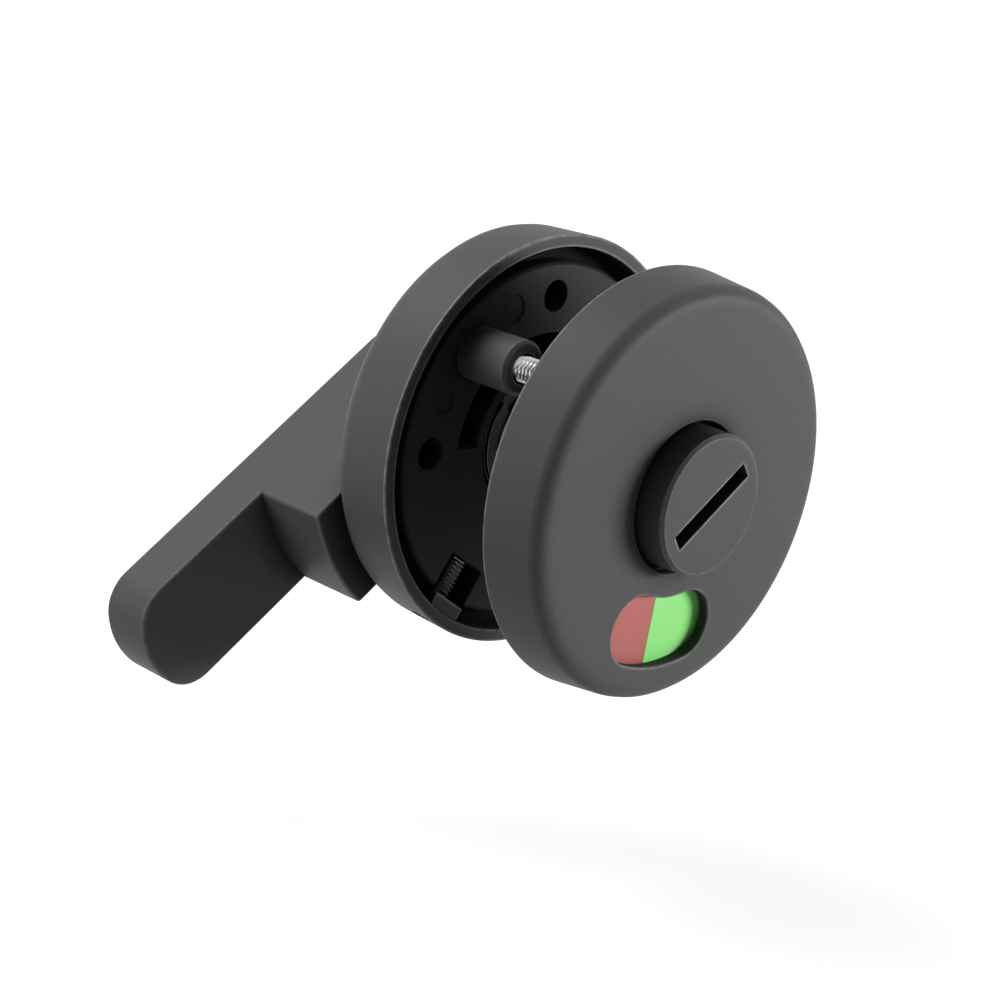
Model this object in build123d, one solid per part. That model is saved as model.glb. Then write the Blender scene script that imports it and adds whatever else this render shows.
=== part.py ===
from build123d import *
import math
import os

# Privacy turn and release with an indicator. Millimetres. The lock turns about the Y axis.
# Y = 0 is the door's inner face, the lever stands on the +Y side and the indicator faces -Y.
# Angles are measured in the XZ plane, from +X towards +Z, as seen from the indicator side.

# Door and rose covers
door_thickness = 20.0
inner_cover_wall = 2.0
inner_rose_depth = 12.3
inner_rose_taper = 0.6
inner_rose_rounding = 3.5
inner_face_wall = 2.3
outer_cover_wall = 2.0
outer_rose_depth = 10.0
outer_rose_taper = 1.1
outer_rose_rounding = 2.4
outer_face_wall = 1.8

# Clearances
fit_gap = 0.05
run_gap = 0.08
face_gap = 0.3
play = 0.2

# Breaks on the ends of screws
screw_chamfer = 0.4

# Inner base plate
inner_setback = 1.0
inner_plate_thickness = 4.4
plate_groove = 2.5
plate_edge_width = 2.2
plate_edge_chamfer = 0.5
flange_thickness = 1.4
shoulder_width = 1.3
hub_boss_wall = 1.97
plate_recess_depth = 1.6
screw_hole_radius = 2.5
screw_edge_width = 2.8
first_screw_angle = 4.0
screw_hole_count = 4
mark_radius = 2.35
mark_edge_width = 2.75
mark_depth = 0.25
mark_spread = 23.0

# Stop of the turn: a curved slot in the base plate and a lug that runs in it
slot_margin = 1.5
slot_width = 4.0
turn_forward = 40.0
turn_back = 50.0
lug_half_angle = 3.2
stop_play_angle = 0.8

# Fixing pillars, and the clamp screws that join the two halves through the door
pillar_radius = 4.2
pillar_reach = 8.6
pillar_gap = 0.4
pillar_angle = 140.0
pillar_bore_depth = 10.6
spigot_radius = 2.8
rivet_head_radius = 3.8
rivet_head_height = 1.2
clamp_radius = 2.0
clamp_length = 20.0
clamp_head_radius = 3.8
clamp_head_height = 1.8
clamp_head_land = 0.2
clamp_hole_gap = 0.25
clamp_socket_size = 2.5
clamp_socket_depth = 1.3

# Grub screw in the edge of the inner rose, with its boss on the cover and pad on the plate
grub_angle = 242.0
grub_radius = 2.0
grub_length = 9.6
grub_axis_depth = 3.6
grub_sink = 1.0
grub_boss_width = 7.0
grub_boss_length = 2.2
grub_boss_height = 6.6
notch_margin = 0.6
pad_height = 2.0
pad_length = 4.0
grub_socket_size = 2.0
grub_socket_depth = 2.0

# Lever and its neck
lever_angle = 220.0
lever_gap = 0.5
lever_width = 19.0
lever_reach = 63.0
lever_block_reach = 35.0
lever_depth = 21.5
paddle_thickness = 8.8
tip_radius = 14.0
tip_corner = 6.5
lever_chamfer = 0.5
neck_radius = 8.0
neck_land = 0.3
key_width = 3.0
key_depth = 1.2
set_screw_radius = 2.0
set_screw_sink = 1.5
set_screw_depth = 9.2
set_socket_size = 2.0
set_socket_depth = 2.0

# Bearings, washers and rings of the lever side
bush_wall = 1.4
bush_flange_width = 1.8
bush_flange_thickness = 0.8
spring_washer_room = 0.7
spring_washer_thickness = 0.3
spring_washer_width = 2.6
stop_ring_thickness = 1.6
guide_wall = 1.5
guide_flange_width = 1.4
guide_flange_thickness = 0.8
washer_thickness = 0.5
washer_width = 2.3
ring_thickness = 0.7
ring_width = 2.2
ring_groove_depth = 0.8
ring_opening = 5.0

# Spindle
spindle_size = 5.0
spindle_chamfer = 0.5
spindle_in_lever = 14.0
spindle_in_button = 6.6
spindle_end_gap = 0.5

# Outer base plate
outer_setback = 1.0
outer_plate_thickness = 2.2
outer_recess_depth = 1.3
outer_bush_room = 0.4
outer_boss_wall = 2.2
snap_height = 0.3
snap_width = 0.9

# Turn button
button_radius = 10.85
button_proud = 4.6
button_hole_gap = 0.75
button_bevel = 0.5
button_flange_width = 1.0
button_flange_thickness = 1.4
shank_radius = 6.0
shank_setback = 0.4
coin_slot_length = 16.4
coin_slot_width = 2.55
coin_slot_depth = 2.4
button_bush_wall = 1.2
button_bush_flange_width = 1.6
button_bush_flange_thickness = 0.6
button_washer_thickness = 0.5
button_washer_width = 2.0
button_ring_thickness = 0.6
button_ring_width = 1.8

# Window and indicator
window_end_radius = 5.4
disc_room = 1.8
window_half_angle = 15.5
window_angle = 270.0
disc_margin = 1.3
disc_web_thickness = 1.2
segment_margin = 0.6
segment_thickness = 0.4
segment_angle = 95.0
disc_screw_radius = 1.0
disc_screw_head_radius = 1.9
disc_screw_head_height = 0.9
disc_screw_length = 2.3
disc_screw_inset = 1.7
disc_screw_count = 3

# Places along the Y axis that several pieces share, lever side
plate_front = inner_setback
plate_back = plate_front + inner_plate_thickness
recess_floor = plate_front + plate_recess_depth
cavity_end = inner_rose_depth - inner_face_wall
stop_ring_back = cavity_end - face_gap
stop_ring_front = stop_ring_back - stop_ring_thickness
bush_flange_end = stop_ring_front - spring_washer_room
boss_end = bush_flange_end - bush_flange_thickness
washer_back = recess_floor - play
washer_front = washer_back - washer_thickness
ring_front = washer_front - ring_thickness
neck_end = ring_front - neck_land
lever_front = inner_rose_depth + lever_gap
lever_back = lever_front + lever_depth
paddle_front = lever_back - paddle_thickness

# Places along the Y axis that several pieces share, indicator side
outer_back = -door_thickness
outer_face = outer_back - outer_rose_depth
outer_cavity_end = outer_face + outer_face_wall
outer_plate_back = outer_back - outer_setback
outer_plate_front = outer_plate_back - outer_plate_thickness
outer_recess_floor = outer_plate_back - outer_recess_depth
button_face = outer_face - button_proud
flange_front = outer_cavity_end + face_gap
flange_back = flange_front + button_flange_thickness
web_back = flange_back + disc_web_thickness
outer_bush_end = web_back + outer_bush_room
outer_boss_end = outer_bush_end + button_bush_flange_thickness
shank_end = outer_back - shank_setback
button_washer_front = outer_recess_floor + play
button_washer_back = button_washer_front + button_washer_thickness
button_ring_back = button_washer_back + button_ring_thickness

# Radii that several pieces share
bush_bore = neck_radius + run_gap
bush_radius = bush_bore + bush_wall
boss_bore = bush_radius + fit_gap
boss_radius = boss_bore + hub_boss_wall
slot_inner_radius = boss_radius + slot_margin
slot_outer_radius = slot_inner_radius + slot_width
pillar_circle_radius = slot_outer_radius + pillar_gap + pillar_radius
plate_radius = pillar_circle_radius + pillar_radius + plate_edge_width
screw_circle_radius = plate_radius - screw_edge_width - screw_hole_radius
mark_circle_radius = plate_radius - mark_edge_width - mark_radius
cover_bore = plate_radius + plate_groove
shoulder_radius = cover_bore - shoulder_width
rose_radius = cover_bore + inner_cover_wall
guide_radius = bush_bore + guide_wall
guide_bore = guide_radius + fit_gap
guide_flange_radius = guide_radius + guide_flange_width
outer_cover_bore = rose_radius - outer_cover_wall
outer_plate_radius = outer_cover_bore - fit_gap
button_bush_bore = shank_radius + run_gap
button_bush_radius = button_bush_bore + button_bush_wall
outer_boss_bore = button_bush_radius + fit_gap
outer_boss_radius = outer_boss_bore + outer_boss_wall
button_hole_radius = button_radius + button_hole_gap
button_flange_radius = button_hole_radius + button_flange_width
disc_radius = rose_radius - outer_rose_taper - outer_cover_wall - disc_room
window_outer_radius = disc_radius - disc_margin
window_middle_radius = window_outer_radius - window_end_radius
window_inner_radius = window_middle_radius - window_end_radius
disc_screw_circle_radius = button_flange_radius - disc_screw_inset - disc_screw_head_radius
lug_angle = lever_angle - 90.0
set_screw_length = (lever_width - spindle_size) / 2 - set_screw_sink


def turned(corners):
    """A solid of revolution about the Y axis, from (radius, Y) corners."""
    return revolve(make_face(Polyline(*corners, close=True)), Axis.Y)


def tube(outer, inner, start, end):
    """A ring about the Y axis between two places on it."""
    return turned([(inner, start), (outer, start), (outer, end), (inner, end)])


def rod(radius, start, end):
    """A cylinder about the Y axis between two places on it."""
    return turned([(0, start), (radius, start), (radius, end), (0, end)])


def slab(outline, start, end):
    """An outline in the XZ plane, given its thickness between two places on the Y axis."""
    return extrude(Plane((0, end, 0), x_dir=(1, 0, 0), z_dir=(0, -1, 0)) * outline, end - start)


def at_angle(shape, angle):
    """A shape made on the +X side, turned to an angle about the Y axis."""
    return Rot(0, -angle, 0) * shape


def on_circle(shape, radius, angle):
    """A shape made on the Y axis, moved out to a radius at an angle."""
    return at_angle(Pos(radius, 0, 0) * shape, angle)


def ring_sector(inner, outer, start_angle, end_angle):
    """The outline of a ring's part between two angles."""
    sweep_angle = end_angle - start_angle
    far = CenterArc((0, 0), outer, start_angle, sweep_angle)
    near = CenterArc((0, 0), inner, start_angle, sweep_angle)
    return make_face([far, Line(far @ 1, near @ 1), near, Line(near @ 0, far @ 0)])


def hex_socket(size, start, end):
    """A hexagonal socket about the Y axis, by its size across the flats."""
    return slab(RegularPolygon(size / 2, 6, major_radius=False), start, end)


def radial_screw(radius, length, socket_size, socket_depth):
    """A grub screw along +X from the origin, with its socket at the far end."""
    along_x = Rot(0, 0, -90)
    body = rod(radius, 0, length) - hex_socket(socket_size, length - socket_depth, length)
    body = chamfer(body.edges().filter_by(GeomType.CIRCLE).group_by(Axis.Y)[0], screw_chamfer)
    return along_x * body


def retaining_ring(shaft_radius, start, end, width):
    """An open ring that sits in a groove of a shaft."""
    groove_radius = shaft_radius - ring_groove_depth
    ring = tube(shaft_radius + width, groove_radius + fit_gap, start, end)
    opening = Pos(shaft_radius + width / 2, (start + end) / 2, 0)
    opening = opening * Box(2 * (width + ring_groove_depth), 2 * (end - start), ring_opening)
    return at_angle(ring - opening, lug_angle)


def pillar_angles():
    """The angles of the two fixing pillars."""
    return [pillar_angle, pillar_angle + 180]


def inner_cover_radius(y):
    """The radius of the inner rose's tapered outside at a place on the Y axis."""
    return rose_radius - inner_rose_taper * y / inner_rose_depth


def grub_line(shape):
    """A shape made along +X, moved onto the edge grub screw's line."""
    return at_angle(Pos(0, grub_axis_depth, 0) * shape, grub_angle)


def grub_tip_radius():
    """How far the edge grub screw's inner end lies from the Y axis."""
    return inner_cover_radius(grub_axis_depth) - grub_sink - grub_length


def grub_notch():
    """The room in the base plate for the cover's boss and the edge grub screw."""
    start = grub_tip_radius()
    width = grub_boss_width + 2 * notch_margin
    block = Box(rose_radius - start, grub_boss_height + 2 * face_gap, width)
    return grub_line(Pos((start + rose_radius) / 2, 0, 0) * block)


def inner_rose_cover():
    edge = rose_radius - inner_rose_taper
    shell = turned([
        (guide_bore, cavity_end), (shoulder_radius, cavity_end), (shoulder_radius, plate_back),
        (cover_bore, plate_back), (cover_bore, 0), (rose_radius, 0),
        (edge, inner_rose_depth), (guide_bore, inner_rose_depth),
    ])
    outer_edge = shell.edges().filter_by(GeomType.CIRCLE).group_by(Axis.Y)[-1].sort_by(SortBy.RADIUS)[-1]
    shell = fillet(outer_edge, inner_rose_rounding)
    flange_room = tube(
        guide_flange_radius + fit_gap, guide_bore - fit_gap,
        inner_rose_depth - guide_flange_thickness, inner_rose_depth + fit_gap,
    )
    boss_start = cover_bore - grub_boss_length
    boss_middle = (boss_start + cover_bore) / 2 + fit_gap
    boss = Pos(boss_middle, 0, 0) * Box(cover_bore - boss_start, grub_boss_height, grub_boss_width)
    screw_hole = Rot(0, 0, -90) * rod(grub_radius + fit_gap, grub_tip_radius(), rose_radius + face_gap)
    skirt = tube(cover_bore + fit_gap, boss_start, 0, cavity_end)
    boss = grub_line(boss) & skirt
    return shell - flange_room + boss - grub_line(screw_hole)


def inner_base_plate():
    plate = rod(plate_radius, plate_front, plate_back)
    plate = chamfer(plate.edges().group_by(Axis.Y)[0], plate_edge_chamfer)
    plate += rod(cover_bore - fit_gap, plate_back - flange_thickness, plate_back)
    plate += rod(boss_radius, plate_back, boss_end)
    pad_end = grub_tip_radius()
    pad = Box(pad_length, pad_height + inner_plate_thickness, grub_boss_width)
    pad = Pos(pad_end - pad_length / 2, (plate_front + plate_back + pad_height) / 2, 0) * pad
    plate += at_angle(pad, grub_angle)
    plate -= rod(boss_bore, plate_front, boss_end)
    plate -= rod(boss_radius, plate_front, recess_floor)
    reach = lug_half_angle + stop_play_angle
    slot = ring_sector(
        slot_inner_radius, slot_outer_radius,
        lug_angle - turn_forward - reach, lug_angle + turn_back + reach,
    )
    plate -= slab(slot, plate_front, plate_back)
    for index in range(screw_hole_count):
        angle = first_screw_angle + index * 360 / screw_hole_count
        plate -= on_circle(rod(screw_hole_radius, plate_front, plate_back), screw_circle_radius, angle)
    for angle in pillar_angles():
        hole = rod(spigot_radius + fit_gap, plate_front, plate_back)
        plate -= on_circle(hole, pillar_circle_radius, angle)
        for side in (-1, 1):
            mark = rod(mark_radius, plate_front, plate_front + mark_depth)
            plate -= on_circle(mark, mark_circle_radius, angle + side * mark_spread)
    return plate - grub_notch()


def hub_bush():
    sleeve = tube(bush_radius, bush_bore, recess_floor, boss_end)
    return sleeve + tube(bush_radius + bush_flange_width, bush_bore, boss_end, bush_flange_end)


def cover_guide_ring():
    flange_start = inner_rose_depth - guide_flange_thickness
    sleeve = tube(guide_radius, bush_bore, cavity_end, inner_rose_depth)
    return sleeve + tube(guide_flange_radius, bush_bore, flange_start, inner_rose_depth)


def fixing_pillars():
    post = rod(pillar_radius, -pillar_reach, plate_front)
    post = chamfer(post.edges().group_by(Axis.Y)[0], plate_edge_chamfer)
    post += rod(spigot_radius, plate_front, plate_back)
    post += rod(rivet_head_radius, plate_back, plate_back + rivet_head_height)
    post -= rod(clamp_radius + fit_gap, -pillar_reach, pillar_bore_depth - pillar_reach)
    return [on_circle(post, pillar_circle_radius, angle) for angle in pillar_angles()]


def cover_grub_screw():
    screw = radial_screw(grub_radius, grub_length, grub_socket_size, grub_socket_depth)
    return grub_line(Pos(grub_tip_radius(), 0, 0) * screw)


def lever_outline(reach):
    """The lever's plan along +X: a round hub end, straight sides and a blunt round tip."""
    half = lever_width / 2
    tip_middle = reach - tip_radius
    shoulder = tip_middle + math.sqrt(tip_radius ** 2 - half ** 2)
    hub = CenterArc((0, 0), half, 90, 180)
    lower = Line((0, -half), (shoulder, -half))
    tip = ThreePointArc((shoulder, -half), (reach, 0), (shoulder, half))
    upper = Line((shoulder, half), (0, half))
    outline = make_face([hub, lower, tip, upper])
    return fillet(outline.vertices().group_by(Axis.X)[-1], tip_corner)


def lever():
    reach_cut = Circle(lever_block_reach)
    handle = slab(lever_outline(lever_reach), lever_front, lever_back)
    step = slab(Rectangle(3 * lever_reach, 3 * lever_width) - reach_cut, lever_front, paddle_front)
    handle -= step
    rim = handle.edges().filter_by(Axis.Y, reverse=True)
    outer_rims = rim.group_by(Axis.Y)[-1] + rim.group_by(Axis.Y)[0]
    handle = chamfer(outer_rims, lever_chamfer)
    handle = at_angle(handle, lever_angle)
    handle += rod(neck_radius, neck_end, lever_front + lever_chamfer)
    socket = spindle_size + 2 * fit_gap
    socket_end = lever_front + spindle_in_lever + spindle_end_gap
    handle -= at_angle(slab(Rectangle(socket, socket), neck_end, socket_end), lever_angle)
    key_way = Pos(neck_radius, (neck_end + stop_ring_back) / 2, 0)
    key_way = key_way * Box(2 * key_depth, stop_ring_back - neck_end, key_width)
    handle -= at_angle(key_way, lug_angle)
    groove_end = washer_front
    handle -= tube(neck_radius + fit_gap, neck_radius - ring_groove_depth, ring_front, groove_end)
    screw_hole = Rot(0, 0, -90) * rod(set_screw_radius + fit_gap, 0, lever_width)
    return handle - at_angle(Pos(0, lever_front + set_screw_depth, 0) * screw_hole, lever_angle + 90)


def lever_set_screw():
    screw = radial_screw(set_screw_radius, set_screw_length, set_socket_size, set_socket_depth)
    screw = Pos(spindle_size / 2, lever_front + set_screw_depth, 0) * screw
    return at_angle(screw, lever_angle + 90)


def stop_ring():
    bore = neck_radius + fit_gap
    ring = tube(slot_inner_radius, bore, stop_ring_front, stop_ring_back)
    arm = ring_sector(
        (bore + slot_inner_radius) / 2, slot_outer_radius - face_gap,
        lug_angle - lug_half_angle, lug_angle + lug_half_angle,
    )
    lug = ring_sector(
        slot_inner_radius + face_gap, slot_outer_radius - face_gap,
        lug_angle - lug_half_angle, lug_angle + lug_half_angle,
    )
    ring += slab(arm, stop_ring_front, stop_ring_back)
    ring += slab(lug, plate_front + face_gap, stop_ring_back)
    key_thickness = key_depth + fit_gap
    key = Pos(bore - key_depth / 2, (stop_ring_front + stop_ring_back) / 2, 0)
    key = key * Box(key_thickness, stop_ring_thickness, key_width - 2 * fit_gap)
    return ring + at_angle(key, lug_angle)


def spring_washer():
    inner = neck_radius + 2 * fit_gap
    outer = inner + spring_washer_width
    low = bush_flange_end + play
    high = stop_ring_front - spring_washer_thickness
    return turned([
        (inner, high), (outer, low), (outer, low + spring_washer_thickness),
        (inner, high + spring_washer_thickness),
    ])


def thrust_washer():
    return tube(neck_radius + washer_width, neck_radius + fit_gap, washer_front, washer_back)


def neck_retaining_ring():
    return retaining_ring(neck_radius, ring_front, washer_front, ring_width)


def spindle():
    end = lever_front + spindle_in_lever
    start = outer_back - shank_setback - spindle_in_button
    bar = slab(Rectangle(spindle_size, spindle_size), start, end)
    ends = bar.edges().group_by(Axis.Y)
    bar = chamfer(ends[0] + ends[-1], spindle_chamfer)
    return at_angle(bar, lever_angle)


def window_outline():
    start = window_angle - window_half_angle
    end = window_angle + window_half_angle
    outline = ring_sector(window_inner_radius, window_outer_radius, start, end)
    for angle in (start, end):
        x = window_middle_radius * math.cos(math.radians(angle))
        z = window_middle_radius * math.sin(math.radians(angle))
        outline += Pos(x, z) * Circle(window_end_radius)
    return outline


def outer_rose_cover():
    edge = rose_radius - outer_rose_taper
    shell = turned([
        (button_hole_radius, outer_face), (edge, outer_face), (rose_radius, outer_back),
        (outer_cover_bore, outer_back), (outer_cover_bore, outer_plate_front),
        (edge - outer_cover_wall, outer_cavity_end), (button_hole_radius, outer_cavity_end),
    ])
    front_edge = shell.edges().filter_by(GeomType.CIRCLE).group_by(Axis.Y)[0].sort_by(SortBy.RADIUS)[-1]
    shell = fillet(front_edge, outer_rose_rounding)
    shell -= slab(window_outline(), outer_face, outer_cavity_end)
    return shell - snap_ridge(fit_gap)


def snap_ridge(extra):
    """The ridge round the outer base plate's edge, or with a gap added, its groove."""
    middle = outer_plate_back - outer_plate_thickness / 2
    half = snap_width / 2 + extra
    top = outer_plate_radius + snap_height + extra
    root = outer_plate_radius - snap_height
    return turned([
        (root, middle - 2 * half), (top, middle - half / 2), (top, middle + half / 2),
        (root, middle + 2 * half),
    ])


def outer_base_plate():
    plate = rod(outer_plate_radius, outer_plate_front, outer_plate_back) + snap_ridge(0)
    plate += rod(outer_boss_radius, outer_boss_end, outer_plate_front)
    plate -= rod(outer_boss_bore, outer_boss_end, outer_plate_back)
    plate -= rod(outer_boss_radius, outer_recess_floor, outer_plate_back)
    for angle in pillar_angles():
        hole = clamp_shape(clamp_radius + clamp_hole_gap, clamp_head_radius + fit_gap, outer_plate_back)
        plate -= on_circle(hole, pillar_circle_radius, angle)
    return plate


def clamp_shape(shank, head, end):
    """A countersunk screw's shape about the Y axis, with its head at the outer plate's front."""
    rim = outer_plate_front + clamp_head_land
    cone_end = outer_plate_front + clamp_head_height
    return turned([
        (0, outer_plate_front), (head, outer_plate_front), (head, rim), (shank, cone_end),
        (shank, end), (0, end),
    ])


def clamp_screws():
    screw = clamp_shape(clamp_radius, clamp_head_radius, outer_plate_front + clamp_length)
    socket_end = outer_plate_front + clamp_socket_depth
    screw -= hex_socket(clamp_socket_size, outer_plate_front, socket_end)
    return [on_circle(screw, pillar_circle_radius, angle) for angle in pillar_angles()]


def button_bush():
    flange_radius = button_bush_radius + button_bush_flange_width
    flange = tube(flange_radius, button_bush_bore, outer_bush_end, outer_boss_end)
    return flange + tube(button_bush_radius, button_bush_bore, outer_boss_end, outer_recess_floor)


def turn_button():
    body = rod(button_radius, button_face, flange_back)
    body = chamfer(body.edges().group_by(Axis.Y)[0], button_bevel)
    body += rod(button_flange_radius, flange_front, flange_back)
    body += rod(shank_radius, flange_back, shank_end)
    slot = slab(Rectangle(coin_slot_length, coin_slot_width), button_face, button_face + coin_slot_depth)
    body -= at_angle(slot, lever_angle)
    socket = spindle_size + 2 * fit_gap
    socket_end = shank_end - spindle_in_button - spindle_end_gap
    body -= at_angle(slab(Rectangle(socket, socket), socket_end, shank_end), lever_angle)
    body -= tube(
        shank_radius + fit_gap, shank_radius - ring_groove_depth,
        button_washer_back, button_ring_back,
    )
    for angle in disc_screw_angles():
        hole = rod(disc_screw_radius + fit_gap, flange_front, flange_back)
        body -= on_circle(hole, disc_screw_circle_radius, angle)
    return body


def disc_screw_angles():
    """The angles of the small screws that hold the indicator disc."""
    return [lever_angle + index * 360 / disc_screw_count for index in range(disc_screw_count)]


def disc_screw_shape(shank, head):
    """A small countersunk screw about the Y axis, with its head at the disc's back."""
    return turned([
        (0, web_back), (head, web_back), (shank, web_back - disc_screw_head_height),
        (shank, web_back - disc_screw_length), (0, web_back - disc_screw_length),
    ])


def indicator_disc():
    disc = tube(disc_radius, button_flange_radius + fit_gap, flange_front, flange_back)
    disc += tube(disc_radius, shank_radius + fit_gap, flange_back, web_back)
    for start, end in segment_spans().values():
        pocket = ring_sector(segment_inner() - fit_gap, segment_outer() + fit_gap, start, end)
        disc -= slab(pocket, flange_front, flange_front + segment_thickness)
    for angle in disc_screw_angles():
        hole = disc_screw_shape(disc_screw_radius + fit_gap, disc_screw_head_radius + fit_gap)
        disc -= on_circle(hole, disc_screw_circle_radius, angle)
    return disc


def indicator_screws():
    screw = disc_screw_shape(disc_screw_radius, disc_screw_head_radius)
    return [on_circle(screw, disc_screw_circle_radius, angle) for angle in disc_screw_angles()]


def segment_inner():
    """The colour segments' inner radius."""
    return window_inner_radius - segment_margin


def segment_outer():
    """The colour segments' outer radius."""
    return window_outer_radius + segment_margin


def segment_spans():
    """The start and end angle of each colour segment: they meet in the window's middle at rest."""
    return {
        "indicator_red": (window_angle - segment_angle, window_angle),
        "indicator_green": (window_angle, window_angle + segment_angle),
    }


def colour_segment(name):
    start, end = segment_spans()[name]
    outline = ring_sector(segment_inner(), segment_outer(), start, end)
    return slab(outline, flange_front, flange_front + segment_thickness)


def button_washer():
    outer = shank_radius + button_washer_width
    return tube(outer, shank_radius + fit_gap, button_washer_front, button_washer_back)


def button_retaining_ring():
    return retaining_ring(shank_radius, button_washer_back, button_ring_back, button_ring_width)


def solids(shape):
    """The separate solids of a piece, or of a group of like pieces."""
    group = shape if isinstance(shape, list) else [shape]
    return [solid for item in group for solid in item.solids()]


def main():
    makers = {
        "inner_rose_cover": inner_rose_cover,
        "inner_base_plate": inner_base_plate,
        "hub_bush": hub_bush,
        "cover_guide_ring": cover_guide_ring,
        "fixing_pillars": fixing_pillars,
        "cover_grub_screw": cover_grub_screw,
        "lever": lever,
        "lever_set_screw": lever_set_screw,
        "stop_ring": stop_ring,
        "spring_washer": spring_washer,
        "thrust_washer": thrust_washer,
        "neck_retaining_ring": neck_retaining_ring,
        "spindle": spindle,
        "outer_rose_cover": outer_rose_cover,
        "outer_base_plate": outer_base_plate,
        "clamp_screws": clamp_screws,
        "button_bush": button_bush,
        "turn_button": turn_button,
        "indicator_disc": indicator_disc,
        "indicator_screws": indicator_screws,
        "button_washer": button_washer,
        "button_retaining_ring": button_retaining_ring,
    }
    os.makedirs("parts", exist_ok=True)
    for name, maker in makers.items():
        export_step(Compound(children=solids(maker())), f"parts/{name}.step")
    for name in segment_spans():
        export_step(Compound(children=solids(colour_segment(name))), f"parts/{name}.step")


main()
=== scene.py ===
"""Privacy turn and release with an indicator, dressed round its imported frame.

Lengths are in millimetres until a mesh is made, and the lock turns about the Y axis. The lever side is +Y and
the indicator faces -Y. Angles run in the XZ plane from +X towards +Z, as seen from the indicator side.
"""
import logging
import math
from collections.abc import Iterator
from dataclasses import dataclass
from enum import Enum

import bmesh
import bpy
from mathutils import Matrix, Vector


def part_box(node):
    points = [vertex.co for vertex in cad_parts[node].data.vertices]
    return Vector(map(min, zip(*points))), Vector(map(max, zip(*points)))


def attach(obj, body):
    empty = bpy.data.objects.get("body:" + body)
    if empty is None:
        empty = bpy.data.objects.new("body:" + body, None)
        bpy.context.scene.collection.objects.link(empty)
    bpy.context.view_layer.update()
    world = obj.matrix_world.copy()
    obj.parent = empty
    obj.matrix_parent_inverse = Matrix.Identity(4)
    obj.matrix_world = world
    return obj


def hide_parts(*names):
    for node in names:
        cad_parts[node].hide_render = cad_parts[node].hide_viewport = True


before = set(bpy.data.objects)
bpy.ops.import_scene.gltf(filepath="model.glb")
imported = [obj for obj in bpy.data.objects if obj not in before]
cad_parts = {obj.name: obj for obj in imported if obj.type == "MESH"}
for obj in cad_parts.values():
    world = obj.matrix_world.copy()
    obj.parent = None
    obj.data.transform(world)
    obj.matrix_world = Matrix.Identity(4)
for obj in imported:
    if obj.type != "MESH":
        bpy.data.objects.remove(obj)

# Measures that several pieces share
MM = 0.001
LEVER_ANGLE = 220.0
PILLAR_CIRCLE = 21.6
PILLAR_ANGLES = (140.0, 320.0)
# How far past an edge a cutting shape or a first ring of points starts
MARGIN = 1.0

# How finely the new pieces are drawn
CHORD_ERROR = 0.004
RING_POINTS = 192
PILLAR_POINTS = 96
ROUNDING_STEPS = 4
BEVEL_SEGMENTS = 3
SHARP_ANGLE = math.radians(38)
FLAT_FACE_WEIGHT = 80
WELD_DISTANCE = 1e-4

# How the edges of kept frame nodes are softened
NODE_WELD = 2e-3
NODE_FLAT_ANGLE = math.radians(0.3)
NODE_EDGE_BREAK = 0.1
NODE_BEVEL_SEGMENTS = 2

# Where a mix node keeps its two colours and their mixture
MIX_BASE = 6
MIX_TOP = 7
MIX_RESULT = 2

NEAR_SAMPLES = 6
WHITE = (1.0, 1.0, 1.0, 1.0)
ORIGIN = (0.0, 0.0)

# Short names of types
Point = tuple[float, float]
Outline = list[Point]
Triple = tuple[float, float, float]
Piece = bpy.types.Object
Tree = bpy.types.NodeTree
Socket = bpy.types.NodeSocket
Input = Socket | float

log = logging.getLogger("lock")


class Body(Enum):
    """The frame's two bodies."""

    FIXED = "fixed_roses"
    TURN = "turn"


class Join(Enum):
    """How one shape is joined with another."""

    UNITE = "UNION"
    CUT = "DIFFERENCE"


class Relief(Enum):
    """What the fine relief of a finish looks like."""

    POWDER = "powder"
    MOULDED = "moulded"
    TURNED = "turned"


def corners_mm(node: str) -> tuple[Vector, Vector]:
    """A frame node's lowest and highest corners in millimetres."""
    low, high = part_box(node)
    return low / MM, high / MM


def polar(radius: float, angle: float, centre: Point = ORIGIN) -> Point:
    """The point in the XZ plane at a distance and an angle in degrees from a centre."""
    turn = math.radians(angle)
    return centre[0] + radius * math.cos(turn), centre[1] + radius * math.sin(turn)


def arc(radius: float, start: float, end: float, centre: Point = ORIGIN) -> Outline:
    """Points along an arc, fine enough to look round, with both of its ends.

    Args:
        radius: The arc's radius.
        start: The angle where it starts, in degrees.
        end: The angle where it ends, in degrees.
        centre: The arc's centre.

    Returns:
        The arc's points.
    """
    step = 2 * math.degrees(math.acos(1 - CHORD_ERROR / radius))
    count = max(ROUNDING_STEPS, math.ceil(abs(end - start) / step))
    return [polar(radius, start + (end - start) * index / count, centre) for index in range(count + 1)]


def circle(radius: float, centre: Point = ORIGIN) -> Outline:
    """A closed circle's points, each of them once."""
    return arc(radius, 0, 360, centre)[:-1]


def kidney(inner: float, outer: float, start: float, end: float) -> Outline:
    """The outline of a curved slot with round ends.

    Args:
        inner: The slot's inner radius.
        outer: The slot's outer radius.
        start: The angle of one round end's centre, in degrees.
        end: The angle of the other round end's centre, in degrees.

    Returns:
        The outline, in the direction of growing angles.
    """
    middle, half = (inner + outer) / 2, (outer - inner) / 2
    first_end = arc(half, end, end + 180, polar(middle, end))[1:-1]
    second_end = arc(half, start + 180, start + 360, polar(middle, start))[1:-1]
    return arc(outer, start, end) + first_end + arc(inner, end, start) + second_end


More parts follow.
